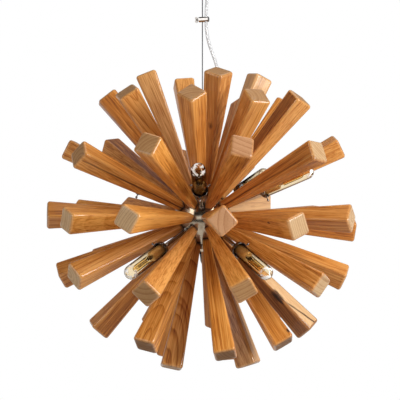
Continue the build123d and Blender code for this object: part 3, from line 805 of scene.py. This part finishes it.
# Figure of single prongs, over what chance gives them: tone (below 0 paler, above 0 darker), grey, depth and
# width of the rings, place of the pith across the prong and lean of the log, sap as a share of sapwood all
# round, pale as the face that is sapwood, shade as a face given painted shade for how the light falls on it
# (a change of tone, darker above 0 and painted lighter below 0), end as the kind of end grain, line as a dark
# line (face, place across near the root, slope, half width), and knot as (across, up, distance from the hub,
# size).
FIGURES = {
    ("crown", 0): {"tone": 0.02, "grey": 0.25, "end": "tan", "knot": (-0.0110, -0.005, 0.199, 0.0052)},
    ("crown", 1): {"tone": -0.20, "grey": 0.45, "sap": 0.28, "end": "grey", "shade": ("+y", 0.30)},
    ("crown", 2): {"tone": -0.14, "grey": 0.20, "depth": 0.20},
    ("crown", 3): {"tone": -0.18, "grey": 0.34, "depth": 0.34, "width": 0.0036},
    ("upper", 0): {
        "tone": -0.05, "end": "tan", "pith": (-0.022, -0.030), "lean": (0.03, 0.05), "width": 0.0062,
    },
    ("upper", 1): {"tone": -0.09, "end": "tan", "shade": ("+y", 0.22), "lean": (0.10, 0.02)},
    ("upper", 2): {"tone": -0.22, "grey": 0.20, "depth": 0.16, "shade": ("+y", 0.58)},
    ("upper", 7): {"tone": 0.13},
    ("upper", 8): {"tone": -0.20, "grey": 0.10, "depth": 0.52, "width": 0.0042, "end": "tan"},
    ("shoulder", 0): {
        "tone": 0.09, "end": "pink", "pith": (0.120, -0.025), "width": 0.0095, "lean": (0.0, 0.0),
    },
    ("shoulder", 1): {
        "tone": 0.12, "depth": 0.30, "end": "beige", "pith": (0.150, 0.160),
        "line": ("-x", -0.0035, -0.020, 0.0021),
    },
    ("shoulder", 2): {"tone": -0.08},
    ("shoulder", 6): {"tone": 0.0, "grey": 0.20, "shade": ("+y", 0.28)},
    ("shoulder", 7): {"tone": 0.04},
    ("shoulder", 8): {"tone": -0.04, "end": "tan", "line": ("-y", 0.0015, 0.012, 0.0019)},
    ("shoulder", 9): {
        "tone": -0.06, "depth": 0.15, "end": "tan", "pith": (-0.026, -0.036), "width": 0.0066,
        "lean": (0.0, 0.0),
    },
    ("equator", 0): {
        "tone": 0.05, "end": "pink", "pith": (0.044, -0.039), "width": 0.0140, "lean": (0.0, 0.0),
    },
    ("equator", 1): {
        "tone": 0.07, "end": "beige", "pith": (0.250, 0.010), "width": 0.0044, "lean": (0.0, 0.02),
        "knot": (-0.0165, 0.0105, 0.240, 0.0021),
    },
    ("equator", 2): {"tone": 0.10, "end": "beige"},
    ("equator", 3): {"tone": 0.08},
    ("equator", 5): {"tone": -0.24, "grey": 0.40, "sap": 0.25, "depth": 0.18},
    ("equator", 9): {"tone": 0.05},
    ("equator", 10): {
        "tone": -0.08, "end": "beige", "lean": (0.02, -0.16), "pith": (0.002, 0.030), "width": 0.0070,
    },
    ("equator", 11): {
        "tone": -0.12, "end": "beige", "pith": (-0.020, -0.120), "width": 0.0048, "lean": (0.0, 0.05),
    },
    ("skirt", 0): {
        "tone": -0.07, "end": "tan", "depth": 0.16, "pith": (0.020, 0.200), "width": 0.0070,
        "lean": (0.0, 0.0),
    },
    ("skirt", 1): {"tone": 0.03, "end": "beige", "pith": (0.120, 0.020)},
    ("skirt", 2): {"tone": 0.0},
    ("skirt", 7): {"tone": 0.05},
    ("skirt", 8): {"tone": -0.10, "grey": 0.12, "end": "beige", "depth": 0.36},
    ("skirt", 9): {
        "tone": -0.13, "end": "tan", "pith": (0.050, 0.034), "lean": (0.20, 0.02), "width": 0.0105,
        "depth": 0.20,
    },
    # Lower prongs 0, 1 and 7 look down with their end faces, and their dark brown end grain is painted shade
    # as well as wood tone.
    ("lower", 0): {"tone": -0.10, "end": "brown", "depth": 0.32, "pith": (0.060, 0.010), "width": 0.0056},
    ("lower", 1): {"tone": 0.05, "end": "brown", "knot": (0.0165, 0.0190, 0.287, 0.0024)},
    ("lower", 2): {
        "tone": 0.42, "grey": 0.45, "pale": "+y", "line": ("+y", -0.0520, 0.247, 0.0033),
        "knot": (-0.0165, 0.0125, 0.210, 0.0092),
    },
    ("lower", 6): {"tone": 0.02, "grey": 0.20, "depth": 0.36, "shade": ("-y", 0.14)},
    ("lower", 7): {
        "tone": -0.15, "end": "brown", "pith": (-0.016, -0.002), "lean": (-0.30, 0.02), "width": 0.0090,
        "depth": 0.46,
    },
    ("base", 0): {"tone": 0.02, "grey": 0.55, "depth": 0.30, "shade": ("+y", -0.34)},
    ("base", 1): {"tone": 0.04},
    ("base", 2): {"tone": 0.06},
    ("base", 3): {
        "tone": -0.13, "pith": (-0.026, 0.014), "lean": (-0.34, 0.0), "width": 0.0110, "depth": 0.66,
    },
}
FIGURE_SEED = 11
# Distances from the hub at which a figure's pith and a line's place across are given.
PITH_PLACE = 0.18
LINE_PLACE = 0.07
# The fibres follow the log's lean only up to this slope.
FIBRE_LEAN = 0.06
# A knot is longer along the grain. Where a prong has no line or knot, its distance is far.
KNOT_STRETCH = 2.0
FAR = 9.0
# The prong is painted dark where it meets the hub, a painted shade of the seam, over this length.
ROOT_SHADE = 0.0060


def prong_shape(prong):
    """One prong along Z: square rings that widen in a straight line from root to tip, then a quarter round of
    the end edge whose rings draw in by one minus the cosine of the turn. Also how far each point is end grain
    and how far it lies on a rounded edge."""
    straight = TIP_RADIUS - prong.end_edge
    slope = (prong.tip_side - prong.root_side) / 2 / (TIP_RADIUS - PRONG_START)
    body = PRONG_START + np.linspace(0, 1, 8)[1:] * (straight - PRONG_START)
    body = np.concatenate([PRONG_START + np.array([0.0, 0.0008, ROOT_SHADE]), body])
    turn = np.radians(np.linspace(0, 90, 8))[1:]
    height = np.concatenate([body, TIP_RADIUS - prong.end_edge * (1 - np.sin(turn)), [TIP_RADIUS]])
    inset = np.concatenate([0 * body, prong.end_edge * (1 - np.cos(turn)), [prong.end_edge + 0.0009]])
    half = prong.root_side / 2 + slope * (np.minimum(height, straight) - PRONG_START) - inset
    share = np.clip((height - PRONG_START) / (TIP_RADIUS - PRONG_START), 0, 1)
    edge = prong.root_edge + (prong.tip_edge - prong.root_edge) * share
    edge = np.maximum(edge - 0.55 * inset, 0.0012)
    shape = rounded_bar(half, half, edge, height)
    around = (len(shape[0]) - 2) // len(height)
    end = np.concatenate([0 * body, np.sin(turn) ** 3, [1.0]]).repeat(around)
    corner = np.sin(np.radians(np.linspace(0, 180, around // 4 - 2)))
    corner = np.tile(np.concatenate([[0.0], corner, [0.0]]), 4)
    rounding = np.maximum(corner[None], np.concatenate([0 * body, np.sin(2 * turn), [0.0]])[:, None])
    return shape, np.concatenate([end, [0.0, 1.0]]), np.concatenate([rounding.ravel(), [0.0, 0.0]])


def on_face(points, face, top):
    """Which points of a prong below a height lie flat on one of its four long faces, named by the axis that
    it looks along, and every point's place across that face."""
    axis = "xy".index(face[1])
    reach = points[:, axis] * (1 if face[0] == "+" else -1)
    heights, level = np.unique(points[:, 2], return_inverse=True)
    widest = np.zeros(len(heights))
    np.maximum.at(widest, level, np.max(np.abs(points[:, :2]), axis=1))
    return (reach > widest[level] - 1e-6) & (points[:, 2] < top), points[:, 1 - axis]


def chance_figures(chance, count):
    """Figures of a row's prongs by chance: the pith anywhere beside the prong, the log's lean and start,
    tone, greyness, rings and kind of end grain."""
    bearing = chance.uniform(0, 2 * np.pi, count)
    pith = np.stack([np.cos(bearing), np.sin(bearing)], -1) * chance.uniform(0.010, 0.060, (count, 1))
    columns = {
        "pith": pith,
        "lean": chance.normal(0, 0.06, (count, 2)),
        "start": chance.uniform(-3, 3, count),
        "tone": chance.normal(0.03, 0.08, count).clip(-0.14, 0.18),
        "grey": chance.uniform(0, 0.175, count),
        "depth": chance.uniform(0.12, 0.30, count),
        "width": chance.uniform(0.0045, 0.0085, count),
        "end": chance.choice(["tan", "grey", "brown", "beige"], count, p=[0.4, 0.3, 0.2, 0.1]),
    }
    return [dict(zip(columns, values)) for values in zip(*columns.values())]


def wood_fields(points, figure, top):
    """What the wood finish reads at one prong's points: the place in the log, which leans past the prong
    with its pith on the axis, the same place for the fibres, which lean less, and the tones and marks of the
    figure, with painted shade added to the tone of a shaded face. The faces end at the height top."""
    size, height = len(points), points[:, 2]
    lean = np.array(figure["lean"])
    place = points + [0, 0, figure["start"]]
    place[:, :2] += np.outer(height - PITH_PLACE, lean) - figure["pith"]
    along = place.copy()
    along[:, :2] -= np.outer(height - PITH_PLACE, lean - np.clip(lean, -FIBRE_LEAN, FIBRE_LEAN))
    fields = {
        "wood_place": place,
        "fibre_place": along,
        "wood_tone": np.full(size, figure["tone"]),
        "wood_grey": np.full(size, figure["grey"]),
        "ring_depth": np.full(size, figure["depth"]),
        "ring_width": np.full(size, figure["width"]),
        "end_tint": np.tile(END_TINTS[figure["end"]], (size, 1)),
        "wood_pale": np.full(size, figure.get("sap", 0.0)),
        "wood_line": np.full(size, FAR),
        "line_face": np.zeros(size),
        "wood_knot": np.full((size, 3), FAR),
    }
    if "pale" in figure:
        fields["wood_pale"] = on_face(points, figure["pale"], top)[0]
    # Painted shade: one face's tone is changed for how the light falls on it.
    if "shade" in figure:
        face, change = figure["shade"]
        fields["wood_tone"] += on_face(points, face, top)[0] * change
    if "line" in figure:
        face, across, slope, wide = figure["line"]
        fields["line_face"], beside = on_face(points, face, top)
        fields["wood_line"] = (beside - across - slope * (height - LINE_PLACE)) / wide
    if "knot" in figure:
        *middle, radius = figure["knot"]
        fields["wood_knot"] = (points - middle) / [radius, radius, radius * KNOT_STRETCH]
    return fields


class PENDANT_OT_prongs(bpy.types.Operator):
    """Tapered wooden prongs, one object to a row"""

    bl_idname = "pendant.prongs"
    bl_label = "Wooden prongs"

    def execute(self, context):
        prong = context.scene.pendant_prongs
        wood = finish(wood_finish, prong)
        # edge is how far each point lies on a rounded edge, which the finish paints paler: a painted
        # highlight as well as wear.
        shape, end, edge = prong_shape(prong)
        points = shape[0]
        # Painted shade at the root: 1 where the prong meets the hub, fading to 0 over ROOT_SHADE.
        root = np.clip(1 - (points[:, 2] - PRONG_START) / ROOT_SHADE, 0, 1)
        top = TIP_RADIUS - prong.end_edge + 0.0001
        chance = np.random.default_rng(FIGURE_SEED)
        for row in PRONG_ROWS:
            frames = prong_frames(row)
            count = len(frames)
            figures = chance_figures(chance, count)
            for index, figure in enumerate(figures):
                figure.update(FIGURES.get((row, index), {}))
            fields = [wood_fields(points, figure, top) for figure in figures]
            attributes = {key: np.concatenate([field[key] for field in fields]) for key in fields[0]}
            piece(
                f"{row}_wood", at_places(shape, frames), wood, "wood", (f"{row}_prongs",),
                wood_end=np.tile(end, count), wood_edge=np.tile(edge, count), wood_root=np.tile(root, count),
                **attributes,
            )
        return {"FINISHED"}


class PENDANT_OT_lamp_metal(bpy.types.Operator):
    """Chrome stems, collars and thumb screws of the small lamps"""

    bl_idname = "pendant.lamp_metal"
    bl_label = "Lamp metal"

    def execute(self, context):
        lamp = context.scene.pendant_lamps
        chrome = finish(dark_chrome_finish)
        frames = lamp_frames()
        stem = lamp.stem_radius
        corners = [
            (AXIS_RING, PRONG_START), (FOOT_NUT_RADIUS, PRONG_START), (FOOT_NUT_RADIUS, FOOT_NUT_TOP),
            (stem, FOOT_NUT_TOP + STEM_BEVEL), (stem, STEM_TOP), (STEM_HEAD_RADIUS, STEM_TOP + STEM_BEVEL),
            (STEM_HEAD_RADIUS, COLLAR_FOOT), (AXIS_RING, COLLAR_FOOT),
        ]
        stems = turned(rounded(corners, (0.0004, 0.0006, 0.0003, 0.0003, 0.0006, 0.0004)))
        piece("lamp_stem_rods", at_places(stems, frames), chrome, "chrome", ("lamp_stems",))

        rim, inside = lamp.collar_radius, lamp.glass_radius + GLASS_PLAY
        seat = GLASS_SEAT - 2 * SEAT_GAP
        corners = [
            (AXIS_RING, COLLAR_FOOT), (COLLAR_FOOT_RADIUS, COLLAR_FOOT), (rim - 0.0004, COLLAR_SHOULDER),
            (rim - 0.0002, COLLAR_RIM - 0.0014), (rim + 0.0003, COLLAR_RIM), (inside, COLLAR_RIM),
            (inside, seat), (AXIS_RING, seat),
        ]
        collars = turned(rounded(corners, (0.0010, 0.0040, 0.0008, 0.0004, 0.0003, 0.0004), 7), 40)
        black = finish(black_chrome_finish)
        piece("lamp_collar_cups", at_places(collars, frames), black, "chrome", ("lamp_collars",))

        knob = lamp.knob_radius
        neck = np.degrees(np.arcsin(SCREW_SHANK / knob))
        shank = [(0.0001, 0.0), (SCREW_SHANK, 0.0003), (SCREW_SHANK, 0.0030)]
        ball = ball_arc(knob, SCREW_BALL_PLACE, -90 + neck, 90, 12)[:-1]
        screw = turned(np.concatenate([shank, ball, [(0.0001, SCREW_BALL_PLACE + knob)]]), 18)
        lift, out = COLLAR_RIM - SCREW_BELOW_RIM, lamp.glass_radius + 0.0003
        screws = joined(*[laid_out(screw, spin, lift, out) for spin in SCREW_SPINS])
        piece("lamp_thumb_screws", at_places(screws, frames), chrome, "chrome")
        return {"FINISHED"}


class PENDANT_OT_lamp_glass(bpy.types.Operator):
    """Clear domed covers of the small lamps"""

    bl_idname = "pendant.lamp_glass"
    bl_label = "Glass covers"

    def execute(self, context):
        lamp = context.scene.pendant_lamps
        frames = lamp_frames()
        outer, inner = lamp.glass_radius, lamp.glass_radius - lamp.glass_wall
        spring = GLASS_TOP - outer
        low = spring - GLINT_FADE / 2
        seat = GLASS_SEAT + SEAT_GAP
        foot = [((inner + outer) / 2, seat), (outer, seat + GLASS_FOOT_ROUND), (outer, low)]
        outside = np.concatenate([foot, ball_arc(outer, spring, 0, 89.4, 16)])
        inside = ball_arc(inner, spring, 89.4, 0, 16)
        shell = np.concatenate([outside, inside, [(inner, low), (inner, seat + GLASS_FOOT_ROUND)]])
        cover = turned_shell(shell, len(outside))
        # Share of the painted glints at each point: 0 below the dome, 1 on it.
        dome = np.clip((cover[0][:, 2] - low) / GLINT_FADE, 0, 1)
        glass = finish(cover_glass_finish)
        piece(
            "lamp_glass", at_places(cover, frames), glass, "cover_glass", ("glass_covers",),
            dome=np.tile(dome, len(frames)),
        )
        return {"FINISHED"}


def filament_loop(half, bend_start):
    """Wire that stands in the capsule's pressed foot: up one side, over in a half circle and down again."""
    sweep = np.linspace(0, np.pi, 24)
    bend = np.stack([half * np.cos(sweep), 0 * sweep, bend_start + half * np.sin(sweep)], -1)
    rise = np.linspace(PRESS_TOP - 0.0003, bend_start, 14)[:-1]
    right = np.stack([np.full(len(rise), half), 0 * rise, rise], -1)
    left = right[::-1] * [-1, 1, 1]
    return tube(np.concatenate([right, bend, left]), FILAMENT_RADIUS)


def lead(place):
    """Straight wire that stands in the capsule's pressed foot at a place across it."""
    ends = [place, 0, PRESS_TOP - 0.0002], [place, 0, PRESS_TOP + LEAD_HEIGHT]
    return tube(np.linspace(*ends, 4), LEAD_RADIUS)


class PENDANT_OT_lamp_bulbs(bpy.types.Operator):
    """Sockets and small capsule lamps inside the covers"""

    bl_idname = "pendant.lamp_bulbs"
    bl_label = "Sockets and capsules"

    def execute(self, context):
        lamp = context.scene.pendant_lamps
        frames = lamp_frames()
        wide, neck = lamp.holder_radius, lamp.holder_radius - SOCKET_NECK_STEP
        foot, head = GLASS_SEAT + SEAT_GAP, HOLDER_TOP - SEAT_GAP
        corners = [
            (SOCKET_AXIS_RING, foot), (wide, foot), (wide, HOLDER_TOP - 0.0022), (neck, HOLDER_TOP - 0.0018),
            (neck, head), (SOCKET_AXIS_RING, head),
        ]
        sleeve = turned(rounded(corners, (0.0006, 0.0005, 0.0004, 0.0005)), 36)
        gold = finish(socket_finish)
        piece("lamp_sockets", at_places(sleeve, frames), gold, "socket_ceramic", ("lamp_holders",))

        outer, inner = lamp.capsule_radius, lamp.capsule_radius - CAPSULE_WALL
        spring = CAPSULE_TOP - outer
        rim = PRESS_TOP + 0.0004
        lip = [(outer - 0.0004, PRESS_TOP), (outer, rim)]
        outside = np.concatenate([lip, ball_arc(outer, spring, 0, 89, 12)])
        inside = np.concatenate([ball_arc(inner, spring, 89, 0, 12), [(inner, rim)]])
        capsule = turned_shell(np.concatenate([outside, inside]), len(outside))
        glass = finish(capsule_glass_finish)
        piece("lamp_capsule_glass", at_places(capsule, frames), glass, "capsule_glass", ("lamp_capsules",))

        heights = [HOLDER_TOP, HOLDER_TOP + 0.0008, PRESS_TOP - 0.0006, PRESS_TOP]
        half_x, half_y = [0.0046, 0.0050, 0.0050, 0.0044], [0.0017, 0.0019, 0.0019, 0.0016]
        press = rounded_bar(half_x, half_y, [0.0008] * 4, heights, 4)
        leads = joined(press, lead(-LEAD_PLACE), lead(LEAD_PLACE))
        piece("lamp_leads", at_places(leads, frames), finish(lead_finish), "capsule_glass")
        loops = joined(*[filament_loop(*loop) for loop in FILAMENT_LOOPS])
        piece("lamp_filaments", at_places(loops, frames), finish(filament_finish), "capsule_glass")
        return {"FINISHED"}


class PENDANT_OT_hub(bpy.types.Operator):
    """Chrome hub and the pieces on its axis"""

    bl_idname = "pendant.hub"
    bl_label = "Hub"

    def execute(self, context):
        dress(finish(warm_chrome_finish), "hub_cap", "hub_bowl", "wire_bush", "bottom_cap_nut")
        dress(finish(steel_finish), "hub_tie_tube", "wire_ferrule")
        dress(finish(plastic_finish), "junction_block", "cord_bush")
        return {"FINISHED"}


def route_points():
    """Control points of the cord: each route place swung into the cord's vertical plane."""
    across = np.radians(CORD_AZIMUTH)
    offset, height = np.array(CORD_ROUTE).T
    return np.stack([offset * np.sin(across), -offset * np.cos(across), HUB[2] + height], -1)


def smooth_line(name, points, radius):
    """Curve of one smooth spline with those control points, as a round tube of that radius."""
    curve = bpy.data.curves.new(name, "CURVE")
    curve.dimensions = "3D"
    spline = curve.splines.new("NURBS")
    spline.points.add(len(points) - 1)
    weighted = np.concatenate([points, np.ones((len(points), 1))], 1)
    spline.points.foreach_set("co", weighted.astype(np.float32).ravel())
    spline.order_u = 3
    spline.use_endpoint_u = True
    spline.resolution_u = 16
    curve.bevel_depth = radius
    curve.bevel_resolution = 6
    curve.use_fill_caps = True
    made = bpy.data.objects.new(name, curve)
    bpy.context.scene.collection.objects.link(made)
    return made


def spline_points(points):
    """Points along the cord's own spline, read from the curve without its thickness."""
    line = smooth_line("cord_line", points, 0.0)
    mesh = bpy.data.meshes.new_from_object(line)
    found = np.zeros(len(mesh.vertices) * 3, np.float32)
    mesh.vertices.foreach_get("co", found)
    curve = line.data
    bpy.data.objects.remove(line)
    bpy.data.curves.remove(curve)
    bpy.data.meshes.remove(mesh)
    return found.reshape(-1, 3).astype(float)


def twisted_cores(line, radius):
    """Two cores that wind round a line, half a turn apart: each swings about it by the length run so far."""
    run = np.concatenate([[0], np.cumsum(np.linalg.norm(np.diff(line, axis=0), axis=1))])
    across = np.radians(CORD_AZIMUTH)
    level = np.array([np.cos(across), np.sin(across), 0.0])
    other = np.cross(unit(np.gradient(line, axis=0)), level)
    cores = []
    for start in (0.0, np.pi):
        wind = (2 * np.pi * run / CORE_TWIST + start)[:, None]
        swing = CORE_SWING * (level * np.cos(wind) + other * np.sin(wind))
        cores.append(tube((line + swing)[1:-1], radius))
    return joined(*cores)


class PENDANT_OT_wire_and_cord(bpy.types.Operator):
    """Taut steel wire and the clear cord beside it"""

    bl_idname = "pendant.wire_and_cord"
    bl_label = "Wire and cord"

    def execute(self, context):
        sizes = context.scene.pendant_cords
        points = route_points()
        sheath = smooth_line("clear_cord", points, sizes.cord_diameter / 2)
        settle(sheath, finish(cord_finish), ("power_cord",))
        cores = twisted_cores(spline_points(points), sizes.core_radius)
        strands = piece("cord_cores", cores, finish(core_finish), "clear_cord")
        ends = np.array([[0, 0, height] for height in WIRE_HEIGHTS])
        wire = smooth_line("steel_wire", ends, sizes.wire_diameter / 2)
        settle(wire, finish(wire_finish), ("suspension_wire",))
        return {"FINISHED"}


class PENDANT_OT_clip(bpy.types.Operator):
    """Clip that holds the cord to the wire"""

    bl_idname = "pendant.clip"
    bl_label = "Cord clip"

    def execute(self, context):
        dress(finish(dark_chrome_finish), "cord_clip")
        dress(finish(black_chrome_finish), "clip_wing_screw")
        return {"FINISHED"}


class PENDANT_OT_ceiling(bpy.types.Operator):
    """Canopy, wire gripper and what is behind them"""

    bl_idname = "pendant.ceiling"
    bl_label = "Ceiling fitting"

    def execute(self, context):
        dress(finish(dull_chrome_finish), "canopy", "gripper_body", "gripper_plunger")
        dress(finish(steel_finish), "ceiling_bar", "stub_nut", "gland_nut")
        dress(finish(plastic_finish), "terminal_block", "cord_gland")
        return {"FINISHED"}


def white_room(stage):
    """World that is white to the camera and through glass and gives dim even light. Metal mirrors it as a
    dark room with a bright band at eye level and a grey wall behind the lamp."""
    net = Net("white_room", "worlds")
    rays = net.node("ShaderNodeLightPath").outputs
    _, back, up = net.axes(net.node("ShaderNodeTexCoord").outputs["Generated"])
    eye_level = net.band(net.maths("ABSOLUTE", up), 0.05, 0.16, 1.0, stage.dark_room)
    mirrored = net.maths("MAXIMUM", eye_level, net.band(back, 0.05, 0.45, 0.0, 0.30))
    light = net.lerp(rays["Is Glossy Ray"], stage.sky, mirrored)
    seen = net.maths("MAXIMUM", rays["Is Camera Ray"], rays["Is Transmission Ray"])
    shader = net.node("ShaderNodeBackground")
    shader.inputs["Color"].default_value = (*WHITE, 1.0)
    net.feed(net.lerp(seen, light, 1.0), shader.inputs["Strength"])
    return net.end(shader, "ShaderNodeOutputWorld")


def floor_finish():
    """Pale matt floor that glows nearly white to the camera and fades into the white room with distance."""
    net = Net("pale_floor")
    rays = net.node("ShaderNodeLightPath").outputs
    matt = net.node("ShaderNodeBsdfDiffuse")
    matt.inputs["Color"].default_value = (0.86, 0.86, 0.86, 1.0)
    glow = net.node("ShaderNodeEmission")
    glow.inputs["Color"].default_value = (*WHITE, 1.0)
    reach = net.vector("LENGTH", net.vector("MULTIPLY", net.place(), (1.0, 1.0, 0.0)))
    seen = net.maths("MAXIMUM", rays["Is Camera Ray"], rays["Is Transmission Ray"])
    share = net.maths("MULTIPLY", seen, net.band(reach, 1.5, 5.8, 0.87, 1.0))
    share = net.maths("MAXIMUM", share, net.maths("MULTIPLY", rays["Is Glossy Ray"], 0.5))
    blend = net.node("ShaderNodeMixShader")
    net.feed_all((share, matt.outputs[0], glow.outputs[0]), blend.inputs)
    return net.end(blend)


def look(place, target):
    """Turn that points an object's -Z from its place to a target with its Y up."""
    return (Vector(target) - Vector(place)).to_track_quat("-Z", "Y").to_euler()


def aimed(name, data, place):
    """Object of a light or camera at a place, looking at the hub."""
    made = bpy.data.objects.new(name, data)
    bpy.context.scene.collection.objects.link(made)
    made.location = place
    made.rotation_euler = look(place, HUB)
    return made


class PENDANT_OT_stage(bpy.types.Operator):
    """Floor, even white surroundings, soft lights and the camera"""

    bl_idname = "pendant.stage"
    bl_label = "Stage"

    def execute(self, context):
        scene = context.scene
        stage = scene.pendant_stage
        scene.view_settings.view_transform = "Standard"
        scene.world = white_room(stage)

        side = (-FLOOR_HALF_SIDE, FLOOR_HALF_SIDE)
        corners = [(x, y, -stage.floor_drop) for y in side for x in side]
        mesh = bpy.data.meshes.new("floor")
        mesh.from_pydata(corners, [], [(0, 1, 3, 2)])
        mesh.materials.append(floor_finish())
        floor = bpy.data.objects.new("floor", mesh)
        scene.collection.objects.link(floor)

        for name, (place, size, power) in PANELS.items():
            panel = bpy.data.lights.new(name, "AREA")
            panel.shape = "RECTANGLE"
            panel.size, panel.size_y = size
            panel.energy = power
            aimed(name, panel, place)

        camera = bpy.data.cameras.new("camera")
        camera.sensor_width = SENSOR_WIDTH
        camera.lens = stage.lens
        camera.shift_x, camera.shift_y = CAMERA_SHIFT
        angle = stage.camera_height
        place = HUB + stage.camera_distance * np.array([0.0, -np.cos(angle), np.sin(angle)])
        scene.camera = aimed("camera", camera, place)
        return {"FINISHED"}


OPERATORS = (
    PENDANT_OT_stage,
    PENDANT_OT_wire_and_cord,
    PENDANT_OT_prongs,
    PENDANT_OT_lamp_metal,
    PENDANT_OT_lamp_glass,
    PENDANT_OT_lamp_bulbs,
    PENDANT_OT_hub,
    PENDANT_OT_clip,
    PENDANT_OT_ceiling,
)
SETTINGS = {
    "pendant_prongs": ProngSettings,
    "pendant_lamps": LampSettings,
    "pendant_cords": CordSettings,
    "pendant_stage": StageSettings,
}


class PENDANT_PT_panel(bpy.types.Panel):
    """Sizes, colours and pieces of the pendant"""

    bl_idname = "PENDANT_PT_panel"
    bl_label = "Pendant"
    bl_space_type = "VIEW_3D"
    bl_region_type = "UI"
    bl_category = "Pendant"

    def draw(self, context):
        for name, group in SETTINGS.items():
            box = self.layout.box()
            for key in group.__annotations__:
                box.prop(getattr(context.scene, name), key)
        for operator in OPERATORS:
            self.layout.operator(operator.bl_idname)


def register():
    for group in SETTINGS.values():
        bpy.utils.register_class(group)
    for name, group in SETTINGS.items():
        setattr(bpy.types.Scene, name, bpy.props.PointerProperty(type=group))
    for made in (*OPERATORS, PENDANT_PT_panel):
        bpy.utils.register_class(made)


def unregister():
    for made in reversed((*OPERATORS, PENDANT_PT_panel)):
        bpy.utils.unregister_class(made)
    for name, group in SETTINGS.items():
        delattr(bpy.types.Scene, name)
        bpy.utils.unregister_class(group)


def main():
    register()
    for operator in OPERATORS:
        group, name = operator.bl_idname.split(".")
        getattr(getattr(bpy.ops, group), name)()


if __name__ == "__main__":
    main()
